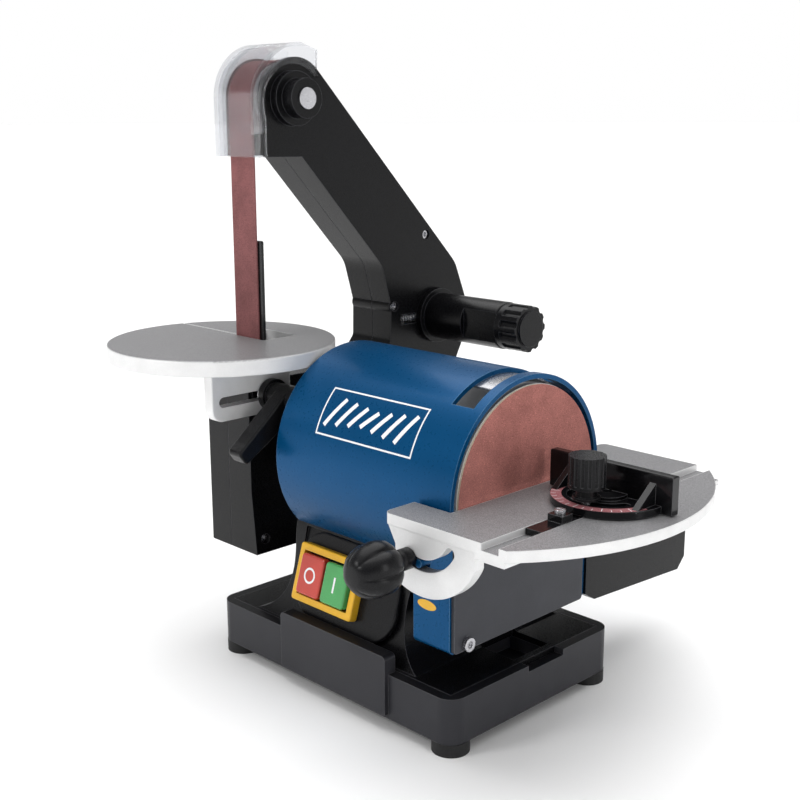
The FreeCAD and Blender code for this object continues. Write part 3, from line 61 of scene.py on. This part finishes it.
class Graph:
    """Builds one material: add() makes a node, sets its plain values and links its inputs."""

    def __init__(self, name):
        self.material = bpy.data.materials.new(name)
        self.material.use_nodes = True
        self.tree = self.material.node_tree
        self.tree.nodes.clear()
        self.output = self.tree.nodes.new("ShaderNodeOutputMaterial")

    def add(self, kind, inputs=None, **settings):
        node = self.tree.nodes.new(kind)
        for name, value in settings.items():
            setattr(node, name, value)
        for name, value in (inputs or {}).items():
            socket = node.inputs[name]
            if isinstance(value, bpy.types.NodeSocket):
                self.tree.links.new(value, socket)
            else:
                socket.default_value = value
        return node

    def position(self):
        return self.add("ShaderNodeTexCoord").outputs["Object"]

    def noise(self, scale, detail=3.0, stretch=None, rough=0.55):
        place = self.position()
        if stretch:
            place = self.add("ShaderNodeMapping", {"Vector": place, "Scale": stretch}).outputs[0]
        made = self.add("ShaderNodeTexNoise", {"Vector": place, "Scale": scale, "Detail": detail,
                                               "Roughness": rough})
        return made.outputs["Fac"]

    def spread(self, value, low, high, from_low=0.35, from_high=0.65):
        made = self.add("ShaderNodeMapRange", {"Value": value, "From Min": from_low,
                                               "From Max": from_high, "To Min": low,
                                               "To Max": high})
        return made.outputs[0]

    def blend(self, factor, first, second):
        made = self.add("ShaderNodeMix", data_type="RGBA")
        for index, value in ((0, factor), (6, first), (7, second)):
            if isinstance(value, bpy.types.NodeSocket):
                self.tree.links.new(value, made.inputs[index])
            else:
                made.inputs[index].default_value = value
        return made.outputs[2]

    def maths(self, operation, first, second=0.0):
        made = self.add("ShaderNodeMath", operation=operation)
        for index, value in enumerate((first, second)):
            if isinstance(value, bpy.types.NodeSocket):
                self.tree.links.new(value, made.inputs[index])
            else:
                made.inputs[index].default_value = value
        return made.outputs[0]

    def edge(self, radius):
        """Rounded normal near sharp edges, and how far it leans from the face's own."""
        soft = self.add("ShaderNodeBevel", {"Radius": radius}, samples=4).outputs[0]
        flat = self.add("ShaderNodeNewGeometry").outputs["Normal"]
        meet = self.add("ShaderNodeVectorMath", {0: soft, 1: flat}, operation="DOT_PRODUCT")
        return soft, self.spread(meet.outputs["Value"], 1.0, 0.0, 0.80, 0.985)

    def finish(self, shader):
        self.tree.links.new(shader.outputs[0], self.output.inputs["Surface"])
        return self.material


def rgb(red, green, blue):
    """An opaque colour from 0 to 255 values as a screen shows them."""
    return tuple(((c / 255 + 0.055) / 1.055) ** 2.4 if c > 10 else c / 255 / 12.92
                 for c in (red, green, blue)) + (1.0,)


def shade(color, factor):
    return tuple(min(c * factor, 1.0) for c in color[:3]) + (1.0,)


def coated(name, color, rough, metal=0.0, coat=0.0, cloud=25, tint=0.10, grain=1800, depth=0.05,
           rough_span=0.06, edge_radius=0.0007, edge_highlight_color=None, edge_highlight_amount=0.5, specular=0.18,
           stretch=None, top_shade_color=None):
    """A surface with cloudy tint, fine grain, a painted highlight along its sharp edges and, if given, a painted
    shade colour on faces that point up.
    """
    g = Graph(name)
    clouds = g.noise(cloud, 4.0)
    grains = g.noise(grain, 2.0, stretch)
    paint = g.blend(g.spread(clouds, 0.0, 1.0), shade(color, 1 - tint), shade(color, 1 + tint))
    # Painted shade: faces that point up are blended towards a darker top colour than the sides.
    if top_shade_color:
        up = g.add("ShaderNodeSeparateXYZ", {0: g.add("ShaderNodeNewGeometry").outputs["Normal"]})
        paint = g.blend(g.spread(up.outputs["Z"], 0.0, 1.0, 0.3, 0.9), paint, top_shade_color)
    paint = g.blend(g.spread(grains, 0.0, 0.35), paint, shade(color, 1 - 2 * tint))
    # Painted highlight: near sharp edges the colour is blended towards a lighter edge colour.
    normal, edge_highlight_mask = g.edge(edge_radius)
    if edge_highlight_color:
        paint = g.blend(g.maths("MULTIPLY", edge_highlight_mask, edge_highlight_amount), paint, edge_highlight_color)
    grain_height = 0.0004
    bumped = g.add("ShaderNodeBump", {"Strength": depth, "Distance": grain_height,
                                      "Height": grains, "Normal": normal})
    return g.finish(g.add("ShaderNodeBsdfPrincipled", {
        "Base Color": paint, "Roughness": g.spread(grains, rough - rough_span, rough + rough_span),
        "Metallic": metal, "Coat Weight": coat, "Coat Roughness": 0.08,
        "Specular IOR Level": specular, "Normal": bumped.outputs[0]}))


def abrasive(name, color, backing, facing=None):
    """Grit bonded to cloth: dark and light grains over a rough red-brown ground."""
    g = Graph(name)
    grit_scale, dark_scale, light_scale = 1500.0, 1700, 1300
    dark_share, light_share = 0.62, 0.55
    grit_height = 0.0003
    grit = g.add("ShaderNodeTexVoronoi", {"Vector": g.position(), "Scale": grit_scale})
    ground = g.blend(g.spread(g.noise(60, 5.0), 0.0, 1.0), shade(color, 0.86), shade(color, 1.14))
    dark = g.spread(g.noise(dark_scale, 2.0), 0.0, 1.0, 0.52, 0.66)
    light = g.spread(g.noise(light_scale, 2.0, (1.3, 0.8, 1.1)), 0.0, 1.0, 0.60, 0.72)
    speckled = g.blend(g.maths("MULTIPLY", dark, dark_share), ground, shade(color, 0.34))
    speckled = g.blend(g.maths("MULTIPLY", light, light_share), speckled, shade(color, 2.1))
    if facing is not None:
        normal = g.add("ShaderNodeNewGeometry").outputs["Normal"]
        apart = g.add("ShaderNodeVectorMath", {0: normal, 1: facing}, operation="DOT_PRODUCT")
        speckled = g.blend(g.spread(apart.outputs["Value"], 0.0, 1.0, 0.4, 0.6), backing, speckled)
    bumped = g.add("ShaderNodeBump", {"Strength": 0.5, "Distance": grit_height,
                                      "Height": grit.outputs["Distance"]})
    return g.finish(g.add("ShaderNodeBsdfPrincipled", {
        "Base Color": speckled, "Roughness": 0.85, "Specular IOR Level": 0.25,
        "Normal": bumped.outputs[0]}))


def clear(name):
    """Clear hard plastic with faint haze and moulding ripple."""
    g = Graph(name)
    ripple = g.noise(90, 2.0)
    bumped = g.add("ShaderNodeBump", {"Strength": 0.08, "Distance": 0.001, "Height": ripple})
    body = g.add("ShaderNodeBsdfPrincipled", {
        "Base Color": (0.86, 0.87, 0.89, 1.0), "Roughness": g.spread(ripple, 0.03, 0.10),
        "IOR": 1.35, "Transmission Weight": 1.0, "Coat Weight": 0.8, "Coat Roughness": 0.04,
        "Normal": bumped.outputs[0]})
    through = g.add("ShaderNodeBsdfTransparent", {"Color": (0.91, 0.915, 0.93, 1.0)})
    mixed = g.add("ShaderNodeMixShader", {0: g.spread(g.noise(14, 1.0), 0.30, 0.40)})
    g.tree.links.new(through.outputs[0], mixed.inputs[1])
    g.tree.links.new(body.outputs[0], mixed.inputs[2])
    return g.finish(mixed)


BLACK = rgb(13, 13, 15)
WHITE = rgb(238, 238, 240)
STEEL = rgb(190, 190, 194)
ALUMINIUM = rgb(230, 230, 230)

# The edge colours below are painted highlights along sharp edges; the top colours are painted shade on faces that
# point up.
looks = {
    "base_plastic": coated("base plastic", rgb(50, 50, 54), 0.34, grain=2600, depth=0.20,
                           edge_highlight_color=rgb(140, 140, 144), edge_highlight_amount=0.45,
                           top_shade_color=rgb(16, 16, 18)),
    "rubber": coated("rubber", rgb(22, 22, 23), 0.6, depth=0.2, specular=0.4),
    "black_plastic": coated("black plastic", BLACK, 0.28, grain=2400, depth=0.10,
                            edge_highlight_color=rgb(120, 120, 126), edge_highlight_amount=0.45),
    "knob_plastic": coated("knob plastic", rgb(18, 18, 20), 0.27, grain=2600, depth=0.12,
                           edge_highlight_color=rgb(110, 110, 114), edge_highlight_amount=0.45),
    "black_cast": coated("black enamel casting", rgb(15, 15, 17), 0.18, coat=0.3, grain=900,
                         depth=0.10, edge_highlight_color=rgb(150, 150, 154), edge_highlight_amount=0.4),
    "switch_yellow": coated("switch yellow", rgb(232, 178, 44), 0.28, coat=0.4,
                            edge_highlight_color=rgb(255, 226, 130), edge_highlight_amount=0.6),
    "button_red": coated("button red", rgb(196, 66, 54), 0.2, coat=0.7, tint=0.14,
                         edge_highlight_color=rgb(236, 140, 120), edge_highlight_amount=0.7),
    "button_green": coated("button green", rgb(72, 158, 88), 0.2, coat=0.7, tint=0.14,
                           edge_highlight_color=rgb(150, 220, 158), edge_highlight_amount=0.7),
    "blue_paint": coated("blue paint", rgb(0, 72, 118), 0.3, metal=0.35, coat=0.05,
                         specular=0.12, cloud=12, tint=0.04, grain=500, depth=0.02,
                         edge_highlight_color=rgb(130, 176, 214), edge_highlight_amount=0.6, rough_span=0.03),
    "grey_paint": coated("grey paint", rgb(60, 61, 66), 0.4, depth=0.08,
                         edge_highlight_color=rgb(150, 150, 154), edge_highlight_amount=0.5),
    "cast_aluminium": coated("cast aluminium", ALUMINIUM, 0.40, metal=0.3, cloud=60, tint=0.05,
                             grain=2200, depth=0.16, edge_highlight_color=rgb(250, 250, 251),
                             edge_highlight_amount=0.85, edge_radius=0.0010, top_shade_color=rgb(104, 103, 106)),
    "bright_steel": coated("bright steel", STEEL, 0.25, metal=0.95, cloud=80, tint=0.08,
                           grain=1500, depth=0.05, edge_highlight_color=WHITE, edge_highlight_amount=0.5),
    "copper": coated("enamelled copper", rgb(160, 84, 42), 0.35, metal=0.8, grain=300, depth=0.5,
                     stretch=(20.0, 1.0, 1.0)),
    "lamination": coated("laminated steel", rgb(120, 120, 124), 0.4, metal=0.9, grain=300,
                         depth=0.5, stretch=(12.0, 0.2, 0.2)),
    "capacitor_case": coated("capacitor case", rgb(208, 208, 202), 0.4, depth=0.08),
    "belt_abrasive": abrasive("belt grit", rgb(134, 86, 86), rgb(110, 84, 72)),
    "disc_abrasive": abrasive("disc grit", rgb(176, 114, 106), rgb(228, 214, 190), (1.0, 0.0, 0.0)),
    "clear_guard": clear("clear guard"),
}

for part in record["subparts"]:
    piece = nodes[part["node"]]
    piece.data.materials.clear()
    piece.data.materials.append(looks[part["material_slot"]])


# ------------------------------------------------------------------------------- small pieces

def mesh_object(name, points, faces, material, body):
    """A piece that rides a body, made from its points and faces."""
    mesh = bpy.data.meshes.new(name)
    mesh.from_pydata([tuple(point) for point in points], [], faces)
    mesh.validate()
    mesh.materials.append(material)
    piece = bpy.data.objects.new(name, mesh)
    bpy.context.scene.collection.objects.link(piece)
    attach(piece, body)
    return piece


ink_white = coated("white print", WHITE, 0.35, tint=0.03, depth=0.04)

tube_low, tube_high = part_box("belt_side_shield")
axis_y = (tube_low[1] + tube_high[1]) / 2
axis_z = (tube_low[2] + tube_high[2]) / 2
tube_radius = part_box("motor_housing")[1][2] - axis_z
tube_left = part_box("motor_housing")[0][0]


def on_tube(x, s, lift=TUBE_PRINT_LIFT):
    """A point on the motor tube: x along it, s up its skin from the axis level at the front."""
    angle = s / tube_radius
    radius = tube_radius + lift
    return (x, axis_y - radius * math.cos(angle), axis_z + radius * math.sin(angle))


def stroke(name, start, stop, width, steps=14):
    """A printed line on the tube between two (x, s) points."""
    along = Vector(stop) - Vector(start)
    side = Vector((-along.y, along.x)).normalized() * width / 2
    points, faces = [], []
    for index in range(steps + 1):
        middle = Vector(start) + along * index / steps
        for edge in (middle - side, middle + side):
            points.append(on_tube(edge.x, edge.y))
        if index:
            last = 2 * index
            faces.append((last - 2, last, last + 1, last - 1))
    return mesh_object(name, points, faces, ink_white, "machine")


def emblem():
    """A plain outlined panel with slanted bars, printed on the tube."""
    panel_start, panel_end = 0.0353, 0.1183
    panel_low, panel_high = 20, 46
    line, bar = 0.0011, 0.0030
    left, right = tube_left + panel_start, tube_left + panel_end
    low, high = tube_radius * math.radians(panel_low), tube_radius * math.radians(panel_high)
    corners = [(left, low), (right, low), (right, high), (left, high)]
    for index, corner in enumerate(corners):
        after = corners[(index + 1) % len(corners)]
        way = (Vector(after) - Vector(corner)).normalized() * line / 2
        stroke(f"panel_line_{index}", Vector(corner) - way, Vector(after) + way, line)
    count = 7
    short_bar, bar_growth, slant = 0.18, 0.13, 0.35
    pitch = (right - left) / (count + 1)
    for index in range(count):
        x = left + pitch * (index + 1)
        reach = (high - low) * (short_bar + bar_growth * abs(index - (count - 1) / 2) / 3)
        middle = (low + high) / 2
        lean = slant * (high - low) / 2
        stroke(f"panel_bar_{index}", (x - lean, middle - reach), (x + lean, middle + reach), bar)


emblem()


def face_frame(node, outward):
    """Centre of the flat face that points outward on a CAD node, with its two in-plane axes."""
    way = Vector(outward).normalized()
    across = X_AXIS if abs(way.x) < 0.9 else Y_AXIS
    up = way.cross(across).normalized()
    if up.z < 0:
        up = -up
    points = [vertex.co for vertex in nodes[node].data.vertices]
    level = max(point.dot(way) for point in points)
    flatness = 0.00005
    flat = [point for point in points if point.dot(way) > level - flatness]
    u = [point.dot(across) for point in flat]
    v = [point.dot(up) for point in flat]
    centre = across * (min(u) + max(u)) / 2 + up * (min(v) + max(v)) / 2 + way * level
    return centre, across, up, way


def ring(name, centre, across, up, way, outer, inner, material, body, lift=PRINT_LIFT,
         count=48, start=0.0, sweep=360.0):
    """A flat printed ring, or a sector of one, between two radii."""
    points, faces = [], []
    for index in range(count + 1):
        angle = math.radians(start + sweep * index / count)
        spoke = across * math.cos(angle) + up * math.sin(angle)
        points.append(centre + spoke * inner + way * lift)
        points.append(centre + spoke * outer + way * lift)
        if index:
            last = 2 * index
            faces.append((last - 2, last - 1, last + 1, last))
    return mesh_object(name, points, faces, material, body)


def patch(name, centre, across, up, way, half_u, half_v, material, body, lift=PRINT_LIFT):
    """A flat printed rectangle."""
    points = [centre + across * half_u * su + up * half_v * sv + way * lift
              for su, sv in ((-1, -1), (1, -1), (1, 1), (-1, 1))]
    return mesh_object(name, points, [(0, 1, 2, 3)], material, body)


def switch_marks():
    """The generic signs on the buttons: a ring for off and a bar for on."""
    ring_outer, ring_inner = 0.0052, 0.0038
    bar_half_width, bar_half_height = 0.0008, 0.0050
    for node, body, slot in (("red_button", "stop_button", "button_red"),
                             ("green_button", "start_button", "button_green")):
        press = Vector(joints["stop_press" if node == "red_button" else "start_press"]["axis"])
        centre, across, up, way = face_frame(node, -press)
        if node == "red_button":
            ring("stop_mark", centre, across, up, way, ring_outer, ring_inner, ink_white, body)
        else:
            patch("start_mark", centre, across, up, way, bar_half_width, bar_half_height,
                  ink_white, body)


switch_marks()


def oval(name, centre, across, up, way, half_u, half_v, material, body, count=40):
    """A flat printed oval."""
    points = [centre + way * PRINT_LIFT]
    for index in range(count):
        angle = 2 * math.pi * index / count
        points.append(centre + way * PRINT_LIFT + across * half_u * math.cos(angle)
                      + up * half_v * math.sin(angle))
    faces = [(0, index + 1, (index + 1) % count + 1) for index in range(count)]
    return mesh_object(name, points, faces, material, body)


def box_label():
    """A small plain yellow oval on the front of the dust box."""
    inset, rise = 0.0207, 0.0255
    half_width, half_height = 0.0075, 0.0030
    low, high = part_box("lower_cover")
    centre = Vector((high[0] - inset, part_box("motor_housing")[0][1], low[2] + rise))
    oval("box_label", centre, X_AXIS, Z_AXIS, -Y_AXIS, half_width, half_height,
         looks["switch_yellow"], "machine")


def gauge_scale():
    """Coloured scale band with white ticks on the dial of the miter head."""
    dial_thickness = 0.0043
    band_outer, band_inner, band_start, band_sweep = 0.0325, 0.0262, -168, 156
    tick_outer, long_tick_inner, tick_inner, tick_half_width = 0.0322, 0.0272, 0.0292, 0.00022
    pivot = Vector(joints["miter_swivel"]["pos_m"])
    across, up, way = X_AXIS, Y_AXIS, Z_AXIS
    dial_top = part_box("miter_head")[0][2] + dial_thickness
    centre = Vector((pivot.x, pivot.y, dial_top))
    band = coated("scale band", rgb(150, 96, 100), 0.3, tint=0.08, depth=0.05)
    ring("scale_band", centre, across, up, way, band_outer, band_inner, band, "gauge_head",
         start=band_start, sweep=band_sweep)
    for degrees in range(-60, 61, 10):
        angle = math.radians(degrees - 90)
        spoke = across * math.cos(angle) + up * math.sin(angle)
        side = Vector((-spoke.y, spoke.x, 0))
        inner = long_tick_inner if degrees % 30 == 0 else tick_inner
        points = [centre + way * TICK_LIFT + spoke * reach + side * tick_half_width * sign
                  for reach, sign in ((inner, -1), (tick_outer, -1), (tick_outer, 1), (inner, 1))]
        mesh_object(f"scale_tick_{degrees + 60}", points, [(0, 1, 2, 3)], ink_white, "gauge_head")


box_label()
gauge_scale()


def lobed_knob():
    """Round hand knob with deep grooves, on the lock bolt of the disc table."""
    low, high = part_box("table_lock_knob")
    middle_x, _, middle_z = joints["table_lock_turn"]["pos_m"]
    clearance = 0.0002
    reach = min(high[0] - middle_x, high[2] - middle_z) - clearance
    front, back = low[1], high[1]
    grip, neck, chamfer = 0.031, 0.0062, 0.0004
    groove_depth, groove_round, groove_start, groove_span = 0.15, 0.45, 0.40, 0.35
    # (distance from the front, share of the full radius)
    profile = [(0.0, 0.0), (0.0, 0.30), (0.0006, 0.46), (0.0022, 0.60), (0.0055, 0.78),
               (0.0100, 0.92), (0.0150, 1.0), (0.0200, 0.985), (0.0245, 0.90), (0.0280, 0.74),
               (0.0300, 0.56), (grip, 0.40), (grip + 0.001, 0.33)]
    count, lobes = 120, 6
    points, faces = [], []
    rows = [(along, share * reach, share) for along, share in profile]
    rows += [(grip + 0.0015, neck, 0.0), (back - front - chamfer, neck, 0.0),
             (back - front, neck - chamfer, 0.0), (back - front, 0.0, 0.0)]
    for along, radius, share in rows:
        for index in range(count):
            angle = 2 * math.pi * index / count
            wave = abs(math.sin(lobes * angle / 2)) ** groove_round
            fade = min(1.0, max(0.0, (share - groove_start) / groove_span))
            groove = 1.0 - groove_depth * (1 - wave) * fade
            points.append((middle_x + radius * groove * math.cos(angle), front + along,
                           middle_z + radius * groove * math.sin(angle)))
    for row in range(len(rows) - 1):
        for index in range(count):
            after = (index + 1) % count
            faces.append((row * count + index, row * count + after,
                          (row + 1) * count + after, (row + 1) * count + index))
    piece = mesh_object("lock_knob_grip", points, faces, looks["knob_plastic"], "disc_table_lock")
    for face in piece.data.polygons:
        face.use_smooth = True
    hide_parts("table_lock_knob")


lobed_knob()


# ------------------------------------------------------------------------------- studio

def lamp(name, place, target, width, height, power):
    """A soft rectangular lamp that points at a target."""
    light = bpy.data.lights.new(name, "AREA")
    light.shape = "RECTANGLE"
    light.size = width
    light.size_y = height
    light.energy = power
    piece = bpy.data.objects.new(name, light)
    piece.location = place
    way = Vector(target) - Vector(place)
    piece.rotation_euler = way.to_track_quat("-Z", "Y").to_euler()
    bpy.context.scene.collection.objects.link(piece)


def studio():
    """A pale floor under a broad soft sky: bright at the horizon and overhead, dim between."""
    size = 60.0
    paler, darker = (0.96, 0.96, 0.96, 1), (0.94, 0.94, 0.94, 1)
    floor_mesh = bpy.data.meshes.new("floor")
    floor_mesh.from_pydata([(-size, -size, 0), (size, -size, 0), (size, size, 0), (-size, size, 0)],
                           [], [(0, 1, 2, 3)])
    floor = bpy.data.objects.new("floor", floor_mesh)
    bpy.context.scene.collection.objects.link(floor)
    g = Graph("floor")
    tint = g.blend(g.spread(g.noise(3, 2.0), 0.0, 1.0), darker, paler)
    floor_mesh.materials.append(g.finish(g.add("ShaderNodeBsdfPrincipled", {
        "Base Color": tint, "Roughness": 0.7, "Specular IOR Level": 0.1})))

    world = bpy.data.worlds.new("studio")
    world.use_nodes = True
    tree = world.node_tree
    place = tree.nodes.new("ShaderNodeTexCoord")
    split = tree.nodes.new("ShaderNodeSeparateXYZ")
    ramp = tree.nodes.new("ShaderNodeValToRGB")
    tree.links.new(place.outputs["Generated"], split.inputs[0])
    tree.links.new(split.outputs["Z"], ramp.inputs[0])
    tree.links.new(ramp.outputs[0], tree.nodes["Background"].inputs["Color"])
    # (height of the view direction, brightness)
    levels = [(0.0, 1.0), (0.10, 1.0), (0.20, 0.26), (0.60, 0.30), (0.80, 0.9)]
    while len(ramp.color_ramp.elements) < len(levels):
        ramp.color_ramp.elements.new(0.5)
    for element, (spot, level) in zip(ramp.color_ramp.elements, levels):
        element.position = spot
        element.color = (level, level, level, 1.0)
    tree.nodes["Background"].inputs["Strength"].default_value = 1.0
    bpy.context.scene.world = world

    sun_energy, sun_spread, sun_tilt = 2.1, 70, (-16, -12)
    sun = bpy.data.lights.new("sky", "SUN")
    sun.energy = sun_energy
    sun.angle = math.radians(sun_spread)
    high = bpy.data.objects.new("sky", sun)
    high.rotation_euler = (math.radians(sun_tilt[0]), math.radians(sun_tilt[1]), 0.0)
    bpy.context.scene.collection.objects.link(high)

    middle = (0.0, 0.0, 0.18)
    lamp("key", (-0.5, -1.5, 1.1), middle, 0.5, 0.5, 9)
    lamp("side", (1.7, 0.1, 0.6), middle, 0.25, 1.0, 5)


def camera():
    """The view that the machine is shown from."""
    place = (0.5486, -0.5602, 0.3640)
    azimuth, pitch = math.radians(45.43), math.radians(13.24)
    roll = math.radians(-0.12)
    sensor_mm, lens_mm = 36.0, 54.486
    lens = bpy.data.cameras.new("camera")
    lens.sensor_width = sensor_mm
    lens.lens = lens_mm
    lens.clip_start = 0.01
    lens.clip_end = 50.0
    piece = bpy.data.objects.new("camera", lens)
    ahead = Vector((-math.sin(azimuth) * math.cos(pitch), math.cos(azimuth) * math.cos(pitch),
                    -math.sin(pitch)))
    turn = ahead.to_track_quat("-Z", "Y").to_matrix().to_4x4()
    piece.matrix_world = (Matrix.Translation(place) @ turn
                          @ Matrix.Rotation(roll, 4, "Z"))
    bpy.context.scene.collection.objects.link(piece)
    bpy.context.scene.camera = piece


studio()
camera()
bpy.context.scene.view_settings.view_transform = "Standard"
